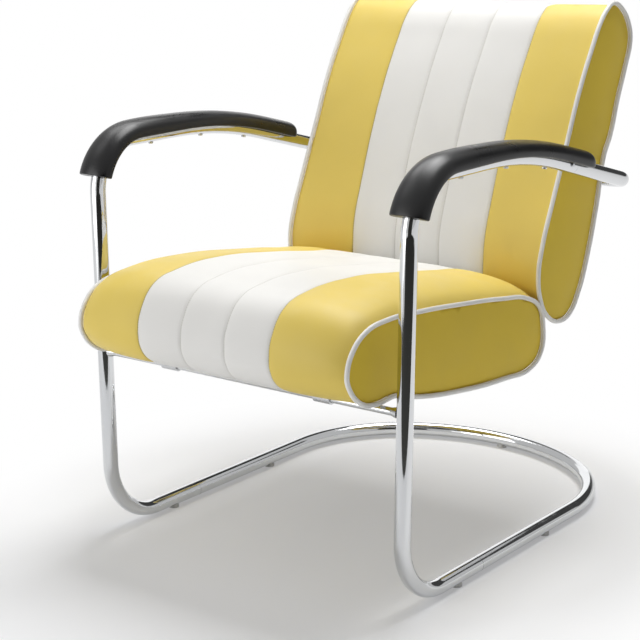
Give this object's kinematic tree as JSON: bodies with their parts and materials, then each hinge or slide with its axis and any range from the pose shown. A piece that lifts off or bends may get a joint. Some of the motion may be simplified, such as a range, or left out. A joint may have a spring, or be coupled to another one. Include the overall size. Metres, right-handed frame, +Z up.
{
  "type": "lounge chair",
  "caption": "Low lounge chair: sprung bent tube frame with padded arms, carrying a striped, piped seat cushion and a reclined backrest cushion.",
  "frame": {"origin": "on the floor, under the middle of the chair's bounding box", "axes": "+Z up; the chair faces -Y; +X is on the left of a person sitting in it"},
  "size_m": [0.6638, 0.8482, 0.8418],
  "materials": {
    "chrome_tube": "polished chrome plate",
    "zinc_fixings": "zinc plated, slightly dull",
    "black_steel": "satin black paint",
    "black_pad": "satin black moulded arm pad",
    "grey_glide": "translucent grey",
    "black_rubber": "matt black",
    "plywood": "plain bent plywood",
    "filling": "cream foam",
    "yellow_vinyl": "mustard yellow leathercloth, soft sheen",
    "white_vinyl": "off-white leathercloth, soft sheen",
    "rear_vinyl": "mustard yellow leathercloth, soft sheen",
    "piping_vinyl": "off-white piping",
    "black_cloth": "woven black dust cover"
  },
  "bodies": {
    "root": {"floor_hoop": "chrome_tube", "left_side_tube": "chrome_tube", "right_side_tube": "chrome_tube", "rear_bar": "chrome_tube", "cross_bar": "chrome_tube", "joint_sleeves": "zinc_fixings", "sleeve_lock_screws": "zinc_fixings", "arm_pad_screws": "zinc_fixings", "cross_bar_clips": "zinc_fixings", "cross_bar_clip_screws": "zinc_fixings", "rear_bar_clips": "zinc_fixings", "rear_bar_clip_screws": "zinc_fixings", "bracket_screws": "zinc_fixings", "seat_back_brackets": "black_steel", "left_arm_pad": "black_pad", "right_arm_pad": "black_pad", "floor_glides": "grey_glide", "cross_bar_spacers": "black_rubber", "rear_bar_spacers": "black_rubber", "seat_board": "plywood", "back_board": "plywood", "seat_foam": "filling", "back_foam": "filling", "seat_cover_left": "yellow_vinyl", "seat_cover_right": "yellow_vinyl", "seat_side_left": "yellow_vinyl", "seat_side_right": "yellow_vinyl", "back_cover_left": "yellow_vinyl", "back_cover_right": "yellow_vinyl", "back_side_left": "yellow_vinyl", "back_side_right": "yellow_vinyl", "seat_cover_middle": "white_vinyl", "back_cover_middle": "white_vinyl", "back_rear_panel": "rear_vinyl", "seat_piping_left": "piping_vinyl", "seat_piping_right": "piping_vinyl", "back_piping_left": "piping_vinyl", "back_piping_right": "piping_vinyl", "seat_dust_cover": "black_cloth"}
  },
  "joints": []
}
